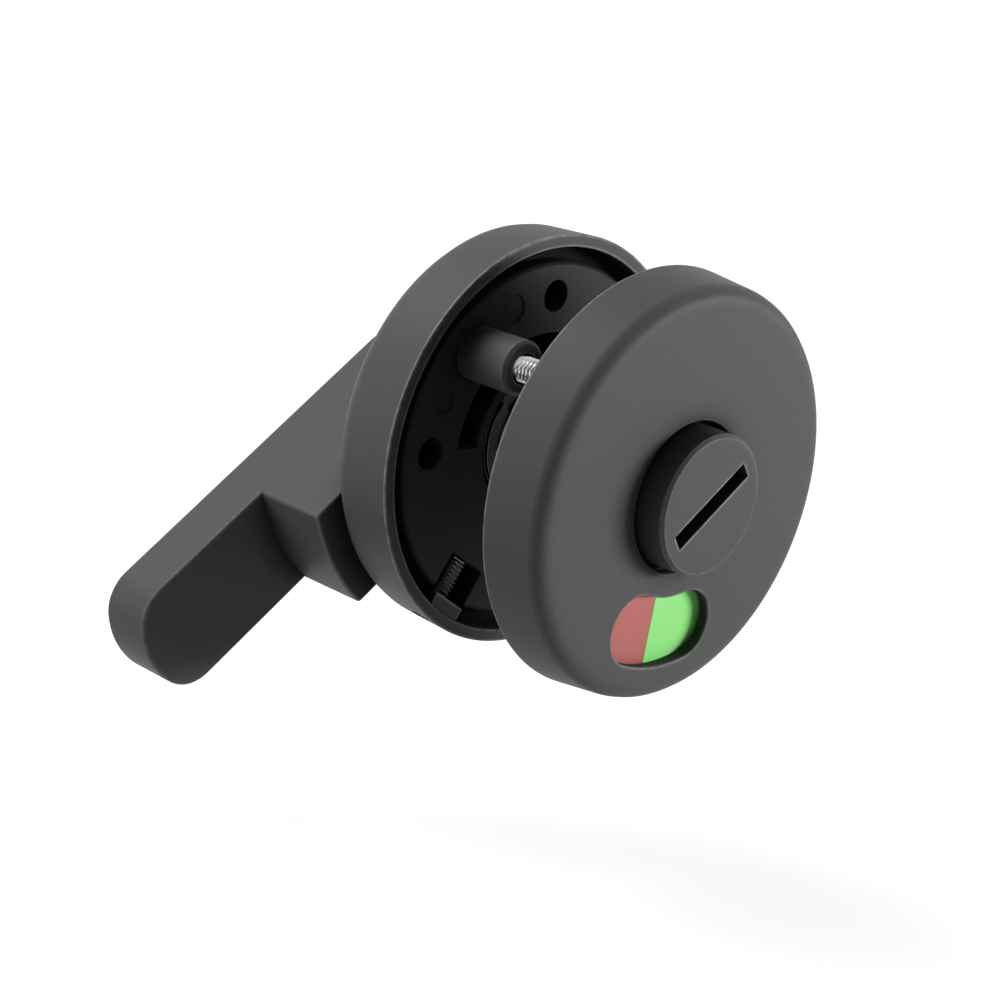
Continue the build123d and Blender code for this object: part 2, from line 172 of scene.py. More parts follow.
def rectangle(length: float, width: float, corner: float) -> Outline:
    """The outline of a rectangle with rounded corners, about the origin.

    Args:
        length: The size along X.
        width: The size along Z.
        corner: The corners' radius.

    Returns:
        The outline.
    """
    x, z = length / 2 - corner, width / 2 - corner
    centres = ((x, z), (-x, z), (-x, -z), (x, -z))
    return [
        point for index, centre in enumerate(centres)
        for point in arc(corner, 90 * index, 90 * index + 90, centre)
    ]


def turned_outline(outline: Outline, angle: float) -> Outline:
    """An outline turned about the origin by an angle in degrees."""
    cosine, sine = math.cos(math.radians(angle)), math.sin(math.radians(angle))
    return [(x * cosine - z * sine, x * sine + z * cosine) for x, z in outline]


def grown(outline: Outline, distance: float) -> Outline:
    """An outline moved outwards along its own normals.

    Args:
        outline: A closed outline in the direction of growing angles.
        distance: How far outwards, or inwards if it is below zero.

    Returns:
        The moved outline, with as many points.
    """
    moved = []
    for index, (x, z) in enumerate(outline):
        before = outline[index - 1]
        after = outline[(index + 1) % len(outline)]
        first = Vector((z - before[1], before[0] - x)).normalized()
        second = Vector((after[1] - z, x - after[0])).normalized()
        mitre = (first + second) / (1 + first.dot(second))
        moved.append((x + distance * mitre.x, z + distance * mitre.y))
    return moved


def new_object(name: str, data: bpy.types.ID) -> Piece:
    """Puts a new object with this data into the scene."""
    made = bpy.data.objects.new(name, data)
    bpy.context.scene.collection.objects.link(made)
    return made


def softened(corners: list[Triple], closed: bool = False) -> list[Point]:
    """A profile with its corners rounded.

    Args:
        corners: Each corner's radius or offset, its place along Y, and its rounding.
        closed: Whether the last corner joins the first.

    Returns:
        The profile's points.
    """
    points = []
    for index, (u, v, rounding) in enumerate(corners):
        at_end = index in (0, len(corners) - 1) and not closed
        if rounding == 0 or at_end:
            points.append((u, v))
            continue
        here = Vector((u, v))
        back = (Vector(corners[index - 1][:2]) - here).normalized()
        onward = (Vector(corners[(index + 1) % len(corners)][:2]) - here).normalized()
        half = back.angle(onward) / 2
        reach = rounding / math.tan(half)
        start, end = here + back * reach, here + onward * reach
        centre = here + (back + onward).normalized() * rounding / math.sin(half)
        for step in range(ROUNDING_STEPS + 1):
            direction = (start - centre).slerp(end - centre, step / ROUNDING_STEPS)
            points.append(tuple(centre + direction * rounding))
    return points


def hexagon(flats: float) -> Outline:
    """A hexagon's corners, by its size across the flats."""
    return [polar(flats / math.sqrt(3), 60 * index) for index in range(6)]


def groove(wall: float, floor: float, start: float, end: float, rounding: float) -> list[Triple]:
    """The four corners of a ring groove in a turned profile, from its wall's radius to its floor's."""
    return [(wall, start, rounding), (floor, start, rounding), (floor, end, rounding), (wall, end, rounding)]


def radial_place(angle: float, start: float, y: float) -> Matrix:
    """The move of a piece made along Y onto a line that leaves the axis at an angle, from a start on it."""
    x, z = polar(1.0, angle)
    return Matrix((
        (z, x, 0, x * start),
        (0, 0, -1, y),
        (-x, z, 0, z * start),
        (0, 0, 0, 1),
    ))


@dataclass(frozen=True)
class Thread:
    """A screw thread, as waves on a round wall."""

    crest: float
    root: float
    pitch: float = 0.7
    lead: float = 0.5
    loops_per_turn: int = 8
    points: int = 48


class Solid:
    """The loops, walls and caps of one piece while it is made, in millimetres."""

    def __init__(self) -> None:
        """Starts with nothing in it."""
        self.mesh = bmesh.new()

    def loop(self, outline: Outline, y: float) -> list[bmesh.types.BMVert]:
        """Adds an outline's points at one place along Y, and returns the new vertices."""
        return [self.mesh.verts.new((x, y, z)) for x, z in outline]

    def wall(self, first: list, second: list) -> None:
        """Joins two loops of as many points by a band of faces."""
        for index, corner in enumerate(first):
            self.mesh.faces.new((first[index - 1], corner, second[index], second[index - 1]))

    def stack(self, loops: list[list]) -> list[list]:
        """Joins each loop to the next one by a wall, and returns the loops."""
        for first, second in zip(loops, loops[1:]):
            self.wall(first, second)
        return loops

    def walls(self, outline: Outline, corners: list[Triple]) -> list[list]:
        """Adds walls round an outline, by corners that have an offset from it, a place along Y and a rounding."""
        return self.stack([self.loop(grown(outline, offset), y) for offset, y in softened(corners)])

    def turned(
        self, corners: list[Triple], closed: bool = False, centre: Point = ORIGIN, points: int = RING_POINTS,
    ) -> list[list]:
        """Adds a surface of revolution about a line along Y.

        Args:
            corners: The profile's corners: a radius, a place along Y and a rounding.
            closed: Whether the last corner joins the first.
            centre: Where the line crosses the XZ plane.
            points: How many points go round.

        Returns:
            The loops from the first corner to the last.
        """
        ring = [polar(1.0, 360 * index / points) for index in range(points)]
        loops = self.stack([
            self.loop([(centre[0] + radius * x, centre[1] + radius * z) for x, z in ring], y)
            for radius, y in softened(corners, closed)
        ])
        if closed:
            self.wall(loops[-1], loops[0])
        return loops

    def threaded(self, thread: Thread, start: float, end: float, centre: Point = ORIGIN) -> list[list]:
        """Adds a threaded wall about a line along Y.

        Args:
            thread: The thread.
            start: Where it starts along Y.
            end: Where it ends.
            centre: Where the line crosses the XZ plane.

        Returns:
            The loops, one for each place along Y.
        """
        count = math.ceil((end - start) / thread.pitch * thread.loops_per_turn)
        loops = []
        for index in range(count + 1):
            y = start + (end - start) * index / count
            outline = []
            for point in range(thread.points):
                turn = point / thread.points
                wave = abs(2 * ((y / thread.pitch - turn) % 1.0) - 1)
                shown = wave * min(1.0, (y - start) / thread.lead, (end - y) / thread.lead)
                outline.append(polar(thread.root + (thread.crest - thread.root) * shown, 360 * turn, centre))
            loops.append(self.loop(outline, y))
        return self.stack(loops)

    def cap(self, *loops: list) -> None:
        """Closes a flat face between an outer loop and the loops inside it.

        Args:
            loops: The loops that bound the face.
        """
        edges = []
        for loop in loops:
            for index, corner in enumerate(loop):
                pair = (loop[index - 1], corner)
                edges.append(self.mesh.edges.get(pair) or self.mesh.edges.new(pair))
        bmesh.ops.triangle_fill(self.mesh, use_beauty=True, edges=edges)

    def piece(self, name: str, place: Matrix = Matrix.Identity(4)) -> Piece:
        """Makes the Blender object, in metres.

        Args:
            name: The piece's name.
            place: How it is moved from where it was drawn, in millimetres.

        Returns:
            The new object.
        """
        bmesh.ops.remove_doubles(self.mesh, verts=self.mesh.verts, dist=WELD_DISTANCE)
        bmesh.ops.recalc_face_normals(self.mesh, faces=self.mesh.faces)
        self.mesh.transform(Matrix.Scale(MM, 4) @ place)
        data = bpy.data.meshes.new(name)
        self.mesh.to_mesh(data)
        self.mesh.free()
        return new_object(name, data)


def prism(outline: Outline, start: float, end: float, place: Matrix = Matrix.Identity(4)) -> Piece:
    """A plain tool shape for cutting and joining: an outline with flat ends.

    Args:
        outline: The outline's points.
        start: Where it starts along Y.
        end: Where it ends.
        place: How it is moved from where it was drawn, in millimetres.

    Returns:
        The shape.
    """
    solid = Solid()
    for loop in solid.walls(outline, [(0, start, 0), (0, end, 0)]):
        solid.mesh.faces.new(loop)
    return solid.piece("tool", place)


def bake_modifiers(piece: Piece) -> None:
    """Turns a piece's modifiers into its own mesh.

    Args:
        piece: The piece, which gets a new mesh.
    """
    graph = bpy.context.evaluated_depsgraph_get()
    data = bpy.data.meshes.new_from_object(piece.evaluated_get(graph))
    old = piece.data
    data.name = old.name
    piece.modifiers.clear()
    piece.data = data
    bpy.data.meshes.remove(old)


def join(piece: Piece, tool: Piece, how: Join) -> None:
    """Unites a piece with another shape or cuts that shape out of it, and removes the other shape.

    Args:
        piece: The piece that stays.
        tool: The other shape.
        how: Unite or cut.
    """
    modifier = piece.modifiers.new(how.name, "BOOLEAN")
    modifier.operation = how.value
    modifier.solver = "EXACT"
    modifier.object = tool
    bake_modifiers(piece)
    bpy.data.objects.remove(tool)


def round_edges(piece: Piece, width: float) -> None:
    """Rounds a piece's sharp outer edges, and leaves its inner corners sharp.

    Args:
        piece: The piece.
        width: The rounding in millimetres.
    """
    mesh = bmesh.new()
    mesh.from_mesh(piece.data)
    weight = mesh.edges.layers.float.new("bevel_weight_edge")
    for edge in mesh.edges:
        edge[weight] = float(edge.is_convex and edge.calc_face_angle(0.0) > SHARP_ANGLE)
    mesh.to_mesh(piece.data)
    mesh.free()
    modifier = piece.modifiers.new("edge rounding", "BEVEL")
    modifier.width = width * MM
    modifier.segments = BEVEL_SEGMENTS
    modifier.limit_method = "WEIGHT"
    modifier.miter_outer = "MITER_ARC"
    bake_modifiers(piece)


def soften_node(node: Piece) -> None:
    """Gives a frame node soft edges by modifiers alone, so that its own mesh stays as it is.

    Args:
        node: The frame node.
    """
    weld = node.modifiers.new("joined faces", "WELD")
    weld.merge_threshold = NODE_WELD * MM
    flat = node.modifiers.new("whole flat faces", "DECIMATE")
    flat.decimate_type = "DISSOLVE"
    flat.angle_limit = NODE_FLAT_ANGLE
    bevel = node.modifiers.new("soft edges", "BEVEL")
    bevel.width = NODE_EDGE_BREAK * MM
    bevel.segments = NODE_BEVEL_SEGMENTS
    bevel.limit_method = "ANGLE"
    bevel.angle_limit = SHARP_ANGLE
    normals = node.modifiers.new("flat shading", "WEIGHTED_NORMAL")
    normals.weight = FLAT_FACE_WEIGHT


def smooth(piece: Piece) -> None:
    """Shades a piece smoothly, with its flat faces flat and its sharp edges sharp.

    Args:
        piece: The piece.
    """
    piece.data.shade_smooth()
    piece.data.set_sharp_from_angle(angle=SHARP_ANGLE)
    modifier = piece.modifiers.new("flat faces", "WEIGHTED_NORMAL")
    modifier.keep_sharp = True
    modifier.weight = FLAT_FACE_WEIGHT


def add_node(tree: Tree, kind: str, inputs: dict | None = None, **settings) -> bpy.types.Node:
    """Adds a node and fills its sockets.

    Args:
        tree: The tree that gets the node.
        kind: The node's type.
        inputs: For each input socket its value, or the output socket that feeds it.
        settings: The node's own properties.

    Returns:
        The new node.
    """
    node = tree.nodes.new(kind)
    for name, value in settings.items():
        setattr(node, name, value)
    for name, value in (inputs or {}).items():
        if isinstance(value, Socket):
            tree.links.new(value, node.inputs[name])
        else:
            node.inputs[name].default_value = value
    return node


def emptied_tree(owner: bpy.types.Material | bpy.types.World) -> Tree:
    """The node tree of a material or a world, with nothing in it."""
    owner.use_nodes = True
    owner.node_tree.nodes.clear()
    return owner.node_tree


def new_group(name: str, inputs: dict[str, float], outputs: list[str]) -> tuple:
    """Starts a shader node group with named float sockets.

    Args:
        name: The group's name.
        inputs: Each input's name and usual value.
        outputs: The outputs' names.

    Returns:
        The group, its input node and its output node.
    """
    group = bpy.data.node_groups.new(name, "ShaderNodeTree")
    for socket, value in inputs.items():
        made = group.interface.new_socket(name=socket, in_out="INPUT", socket_type="NodeSocketFloat")
        made.default_value = value
    for socket in outputs:
        group.interface.new_socket(name=socket, in_out="OUTPUT", socket_type="NodeSocketFloat")
    return group, group.nodes.new("NodeGroupInput"), group.nodes.new("NodeGroupOutput")


def maths(tree: Tree, operation: str, first: Input, second: Input, clamp: bool = False) -> Socket:
    """The result of a math node on two sockets or numbers."""
    inputs = {0: first, 1: second}
    return add_node(tree, "ShaderNodeMath", inputs, operation=operation, use_clamp=clamp).outputs[0]


def between(
    tree: Tree, value: Input, low: Input = 0.0, high: Input = 1.0, start: float = 0.0, end: float = 1.0,
    blend: str = "LINEAR",
) -> Socket:
    """A value that runs from low to high while another value runs from start to end."""
    inputs = {"Value": value, "From Min": start, "From Max": end, "To Min": low, "To Max": high}
    return add_node(tree, "ShaderNodeMapRange", inputs, interpolation_type=blend).outputs["Result"]


def mixed(tree: Tree, factor: Socket, base: Socket, top: Triple) -> Socket:
    """A colour laid over another by a mask."""
    inputs = {0: factor, MIX_BASE: base, MIX_TOP: (*top, 1.0)}
    return add_node(tree, "ShaderNodeMix", inputs, data_type="RGBA").outputs[MIX_RESULT]


def pattern(
    tree: Tree, size: Socket, detail: float, roughness: float = 0.5, stretch: Triple = (1.0, 1.0, 1.0),
) -> Socket:
    """A noise pattern that stays with the object.

    Args:
        tree: The tree that gets the nodes.
        size: The size of its specks in millimetres.
        detail: How many finer layers it has.
        roughness: How strong the finer layers are.
        stretch: How dense it is along each axis.

    Returns:
        The pattern, from 0 to 1.
    """
    place = add_node(tree, "ShaderNodeTexCoord").outputs["Object"]
    scale = tuple(value / MM for value in stretch)
    scaled = add_node(tree, "ShaderNodeVectorMath", {0: place, 1: scale}, operation="MULTIPLY").outputs[0]
    density = maths(tree, "DIVIDE", 1.0, size)
    inputs = {"Vector": scaled, "Scale": density, "Detail": detail, "Roughness": roughness}
    return add_node(tree, "ShaderNodeTexNoise", inputs).outputs["Fac"]


@dataclass(frozen=True)
class Grain:
    """A fine relief with slow patches in it."""

    name: str
    detail: float
    stretch: Triple = (1.0, 1.0, 1.0)
    patch_detail: float = 2.0
    roughness: float = 0.55

    def group(self) -> Tree:
        """Builds the node group.

        Returns:
            The group, with a height and a patch mask.
        """
        group, given, result = new_group(self.name, {"Grain Size": 0.3, "Patch Size": 9.0}, ["Height", "Patches"])
        for socket, size, detail in (
            ("Height", "Grain Size", self.detail), ("Patches", "Patch Size", self.patch_detail),
        ):
            noise = pattern(group, given.outputs[size], detail, self.roughness, self.stretch)
            group.links.new(noise, result.inputs[socket])
        return group


@dataclass(frozen=True)
class NearMask:
    """A mask of the places that have other surface near them, inside the metal or outside it."""

    name: str
    reach: float
    begins: float
    full: float
    inside: bool = False
    only_local: bool = True
    blend: str = "LINEAR"
    speck_size: float = 0.0
    speck_detail: float = 0.0
    speck_range: tuple[float, float] = (0.0, 1.0)

    def group(self) -> Tree:
        """Builds the node group.

        Returns:
            The group, with a mask.
        """
        sockets = {"Amount": 0.5, "Reach": self.reach, "Speck Size": self.speck_size}
        group, given, result = new_group(self.name, sockets, ["Mask"])
        near = add_node(
            group, "ShaderNodeAmbientOcclusion", {"Distance": maths(group, "MULTIPLY", given.outputs["Reach"], MM)},
            samples=NEAR_SAMPLES, inside=self.inside, only_local=self.only_local,
        )
        mask = between(group, near.outputs["AO"], start=self.begins, end=self.full, blend=self.blend)
        if self.speck_size:
            noise = pattern(group, given.outputs["Speck Size"], self.speck_detail)
            start, end = self.speck_range
            mask = maths(group, "MULTIPLY", mask, between(group, noise, start=start, end=end))
        shown = maths(group, "MULTIPLY", mask, given.outputs["Amount"], clamp=True)
        group.links.new(shown, result.inputs["Mask"])
        return group


# The shared effects: three reliefs, and the masks of worn edges that also paint a highlight on them, of dust, and
# of painted shade in deep places and between parts
EFFECTS = {
    Relief.POWDER.value: Grain("Powder grain", detail=3.0),
    Relief.MOULDED.value: Grain("Moulded grain", detail=1.0),
    Relief.TURNED.value: Grain("Turned lines", detail=2.0, stretch=(0.06, 1.0, 0.06)),
    # Worn edges: a light grey on sharp outer edges, partly rubbed paint and partly a painted highlight where edges
    # catch the light
    "wear_and_highlight": NearMask(
        "Edge wear", reach=0.5, begins=0.95, full=0.65, inside=True, blend="SMOOTHSTEP",
        speck_size=2.0, speck_detail=3.0, speck_range=(0.2, 0.55),
    ),
    "dust": NearMask("Settled dust", reach=1.0, begins=0.9, full=0.5, speck_size=0.8, speck_detail=5.0),
    # Painted shade: darkens the colour where other surfaces, of this piece or another, crowd in, as shade falls
    # there
    "painted_shade": NearMask("Painted shade in deep places", reach=8.0, begins=0.85, full=0.5, only_local=False),
}


@dataclass(frozen=True)
class Finish:
    """One surface finish, named as the record's material slot."""

    slot: str
    colour: Triple
    roughness: float
    relief: Relief
    metallic: float = 0.0
    specular: float = 0.5
    grain_size: float = 0.3
    grain_depth: float = 0.01
    patch_size: float = 9.0
    patch_shade: float = 0.06
    patch_gloss: float = 0.05
    # A light grey on sharp edges, partly worn paint and partly a painted edge highlight
    wear_and_highlight_colour: Triple = (0.42, 0.42, 0.42)
    wear_and_highlight_amount: float = 0.0
    dust_colour: Triple = (0.35, 0.34, 0.32)
    dust_amount: float = 0.0
    # A painted shade: a darker colour in deep places and between parts
    painted_shade_colour: Triple = (0.01, 0.01, 0.01)
    painted_shade_amount: float = 0.0
    hollow_roughness: float = 0.95

    def material(self, effects: dict[str, Tree]) -> bpy.types.Material:
        """Builds the finish's node material.

        Args:
            effects: The shared node groups.

        Returns:
            The material.
        """
        made = bpy.data.materials.new(self.slot)
        tree = emptied_tree(made)
        grain = add_node(
            tree, "ShaderNodeGroup", {"Grain Size": self.grain_size, "Patch Size": self.patch_size},
            node_tree=effects[self.relief.value],
        )
        patches = grain.outputs["Patches"]
        shade = between(tree, patches, 1 - self.patch_shade, 1 + self.patch_shade)
        colour = add_node(
            tree, "ShaderNodeVectorMath", {0: self.colour, "Scale": shade}, operation="SCALE",
        ).outputs[0]
        # Lays over the colour the worn edges with their painted highlight, the dust, and the painted shade of deep
        # places
        for name, amount, layer in (
            ("wear_and_highlight", self.wear_and_highlight_amount, self.wear_and_highlight_colour), ("dust", self.dust_amount, self.dust_colour),
            ("painted_shade", self.painted_shade_amount, self.painted_shade_colour),
        ):
            mask = add_node(tree, "ShaderNodeGroup", {"Amount": amount}, node_tree=effects[name]).outputs["Mask"]
            colour = mixed(tree, mask, colour, layer)
        # The last mask paints shade into the deep places, which shine less as well
        gloss = between(tree, patches, self.roughness - self.patch_gloss, self.roughness + self.patch_gloss)
        roughness = between(tree, mask, gloss, self.hollow_roughness)
        bump = add_node(
            tree, "ShaderNodeBump",
            {"Height": grain.outputs["Height"], "Distance": self.grain_depth * MM, "Strength": 1.0},
        )
        shader = add_node(
            tree, "ShaderNodeBsdfPrincipled",
            {
                "Base Color": colour, "Roughness": roughness, "Metallic": self.metallic,
                "Specular IOR Level": self.specular, "Normal": bump.outputs["Normal"],
            },
        )
        add_node(tree, "ShaderNodeOutputMaterial", {"Surface": shader.outputs["BSDF"]})
        return made


# Satin black gets light worn edges that are partly a painted highlight, and painted shade in its deep places
SATIN_BLACK = Finish(
    "satin_black", (0.095, 0.095, 0.096), 0.5, Relief.POWDER, specular=0.1, grain_size=0.22,
    grain_depth=0.012, wear_and_highlight_amount=1.0, painted_shade_amount=0.9,
)
# Black nylon's deep places get a nearly black painted shade
BLACK_NYLON = Finish(
    "black_nylon", (0.026, 0.026, 0.027), 0.55, Relief.MOULDED, specular=0.12, grain_size=0.4,
    grain_depth=0.01, dust_amount=0.1, painted_shade_colour=(0.002, 0.002, 0.002), painted_shade_amount=0.9,
)
WHITE_BEARING = Finish(
    "white_bearing", (0.72, 0.70, 0.64), 0.42, Relief.MOULDED, grain_size=0.5, grain_depth=0.006,
)
ZINC_STEEL = Finish(
    "zinc_steel", (0.62, 0.63, 0.65), 0.3, Relief.TURNED, metallic=1.0, grain_size=0.12, grain_depth=0.004,
    patch_gloss=0.08,
)
SPRING_STEEL = Finish(
    "spring_steel", (0.12, 0.12, 0.13), 0.32, Relief.TURNED, metallic=1.0, grain_size=0.1, grain_depth=0.003,
)
INDICATOR_RED = Finish(
    "indicator_red", (0.49, 0.11, 0.095), 0.42, Relief.MOULDED, grain_size=0.6, grain_depth=0.004,
    patch_shade=0.04,
)
INDICATOR_GREEN = Finish(
    "indicator_green", (0.3, 0.92, 0.23), 0.42, Relief.MOULDED, grain_size=0.6, grain_depth=0.004,
    patch_shade=0.04,
)


class Dresser:
    """Gives pieces their finish, with one material for each finish."""

    def __init__(self) -> None:
        """Builds the shared node groups."""
        self.effects = {name: effect.group() for name, effect in EFFECTS.items()}
        self.made: dict[str, bpy.types.Material] = {}

    def finish(self, piece: Piece, finish: Finish) -> None:
        """Puts a finish on a piece.

        Args:
            piece: The piece or frame node.
            finish: Its finish.
        """
        if finish.slot not in self.made:
            self.made[finish.slot] = finish.material(self.effects)
        if not piece.material_slots:
            piece.data.materials.append(None)
        for slot in piece.material_slots:
            slot.material = self.made[finish.slot]


Pieces = Iterator[tuple[Piece, Finish, str]]


class SubAssembly:
    """Some nodes of the lock that ride on one body: new pieces, and frame nodes that are kept."""

    body: Body
    kept: tuple[tuple[str, Finish], ...] = ()

    def pieces(self) -> Pieces:
        """Makes the new pieces, each with its finish and the node that it stands for."""
        raise NotImplementedError

    def build(self, dresser: Dresser) -> None:
        """Dresses the new pieces and the kept nodes.

        Args:
            dresser: What gives each piece its finish.
        """
        for piece, finish, node in self.pieces():
            smooth(piece)
            dresser.finish(piece, finish)
            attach(piece, self.body.value)
            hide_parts(node)
            log.info("%s rides on %s, %d faces", piece.name, self.body.value, len(piece.data.polygons))
        for name, finish in self.kept:
            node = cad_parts[name]
            soften_node(node)
            dresser.finish(node, finish)
            log.info("%s is kept with %s", name, finish.slot)


@dataclass
class OuterRose(SubAssembly):
    """The indicator side's cover with its window, and what holds it."""

    body = Body.FIXED
    kept = (("outer_base_plate", BLACK_NYLON), ("button_bush", WHITE_BEARING))

    taper: float = 1.1
    rounding: float = 2.4
    wall: float = 2.0
    face_wall: float = 1.8
    plate_depth: float = 3.2
    hole_radius: float = 11.6
    edge_break: float = 0.25
    window_inner: float = 15.5
    window_outer: float = 26.3
    window_middle: float = 270.0
    window_half: float = 15.5
    window_break: float = 0.3
    face_margin: float = 1.2

    def pieces(self) -> Pieces:
        """Makes the cover: a shallow cup with a round hole and a kidney window."""
        low, high = corners_mm("outer_rose_cover")
        face, rim, radius = low.y, high.y, high.x
        inside = face + self.face_wall
        edge, bore = radius - self.taper, radius - self.wall
        soft = self.edge_break
        solid = Solid()
        shell = solid.turned([
            (edge - self.rounding - self.face_margin, face, 0), (edge, face, self.rounding),
            (radius, rim, soft), (bore, rim, soft), (bore, rim - self.plate_depth, soft),
            (edge - self.wall, inside, soft), (edge - self.wall - MARGIN, inside, 0),
        ])
        hole = solid.turned([
            (self.hole_radius + MARGIN, face, 0), (self.hole_radius, face, soft),
            (self.hole_radius, inside, soft), (self.hole_radius + MARGIN, inside, 0),
        ])
        outline = kidney(
            self.window_inner, self.window_outer,
            self.window_middle - self.window_half, self.window_middle + self.window_half,
        )
        window = solid.walls(outline, [
            (2 * self.window_break, face, 0), (0, face, self.window_break),
            (0, inside, self.window_break / 2), (2 * self.window_break, inside, 0),
        ])
        for end in (0, -1):
            solid.cap(shell[end], hole[end], window[end])
        yield solid.piece("outer_cover"), SATIN_BLACK, "outer_rose_cover"


@dataclass
class TurnButton(SubAssembly):
    """The round button with its coin slot."""

    body = Body.TURN
    kept = (("button_washer", SPRING_STEEL), ("button_retaining_ring", SPRING_STEEL))

    radius: float = 10.85
    bevel: float = 0.5
    edge_break: float = 0.12
    flange_thickness: float = 1.4
    flange_front: float = -27.9
    shank_radius: float = 6.0
    slot_length: float = 16.4
    slot_width: float = 2.55
    slot_depth: float = 2.4
    slot_corner: float = 0.2
    socket_size: float = 5.1
    socket_depth: float = 7.1
    groove_start: float = -21.6
    groove_end: float = -21.0
    groove_radius: float = 5.2
    screw_circle: float = 9.0
    screw_hole: float = 1.05
    screw_count: int = 3

    def pieces(self) -> Pieces:
        """Makes the button in one piece with its flange and shank."""
        low, high = corners_mm("turn_button")
        face, end, flange = low.y, high.y, high.x
        flange_back = self.flange_front + self.flange_thickness
        soft = self.edge_break
        solid = Solid()
        body = solid.turned([
            (self.radius - 3 * self.bevel, face, 0), (self.radius - self.bevel, face, soft),
            (self.radius, face + self.bevel, soft), (self.radius, self.flange_front, soft),
            (flange, self.flange_front, soft), (flange, flange_back, soft),
            (self.shank_radius, flange_back, soft),
            *groove(self.shank_radius, self.groove_radius, self.groove_start, self.groove_end, soft / 2),
            (self.shank_radius, end, 2 * soft), (self.shank_radius - MARGIN, end, 0),
        ])
        slot = self.recess(solid, (self.slot_length, self.slot_width), face, face + self.slot_depth)
        socket = self.recess(solid, (self.socket_size, self.socket_size), end, end - self.socket_depth)
        solid.cap(body[0], slot[0])
        solid.cap(slot[-1])
        solid.cap(body[-1], socket[0])
        solid.cap(socket[-1])
        made = solid.piece("button")
        for index in range(self.screw_count):
            centre = polar(self.screw_circle, LEVER_ANGLE + index * 360 / self.screw_count)
            hole = prism(circle(self.screw_hole, centre), self.flange_front, flange_back + MARGIN)
            join(made, hole, Join.CUT)
        yield made, SATIN_BLACK, "turn_button"

    def recess(self, solid: Solid, size: Point, mouth: float, floor: float) -> list[list]:
        """Adds a rectangular recess with soft edges, in line with the lever.

        Args:
            solid: The solid that gets it.
            size: Its length and width.
            mouth: Where it opens along Y.
            floor: Where its floor lies.

        Returns:
            The loops from its mouth to its floor.
        """
        soft = self.edge_break
        outline = turned_outline(rectangle(*size, self.slot_corner), LEVER_ANGLE)
        return solid.walls(outline, [
            (2 * soft, mouth, 0), (0, mouth, soft), (0, floor, soft / 2), (-2 * soft, floor, 0),
        ])


@dataclass
class Indicator(SubAssembly):
    """The disc behind the window with its two colour plates."""

    body = Body.TURN
    kept = (("indicator_disc", BLACK_NYLON), ("indicator_screws", ZINC_STEEL))

    inner: float = 14.9
    outer: float = 26.9
    span: float = 95.0
    meeting_angle: float = 270.0
    gap: float = 0.03
    edge_break: float = 0.08

    def plate(self, name: str, start: float, end: float) -> Piece:
        """Builds one colour plate.

        Args:
            name: The frame node that it stands for.
            start: The angle where it starts, in degrees.
            end: The angle where it ends, in degrees.

        Returns:
            The plate.
        """
        low, high = corners_mm(name)
        outline = grown(arc(self.outer, start, end) + arc(self.inner, end, start), -self.gap)
        soft = self.edge_break
        solid = Solid()
        loops = solid.walls(outline, [
            (-4 * soft, low.y, 0), (0, low.y, soft), (0, high.y, soft), (-4 * soft, high.y, 0),
        ])
        solid.cap(loops[0])
        solid.cap(loops[-1])
        return solid.piece(name.replace("indicator", "colour_plate"))

    def pieces(self) -> Pieces:
        """Makes the red plate and the green plate."""
        meeting = self.meeting_angle
        yield self.plate("indicator_red", meeting - self.span, meeting), INDICATOR_RED, "indicator_red"
        yield self.plate("indicator_green", meeting, meeting + self.span), INDICATOR_GREEN, "indicator_green"


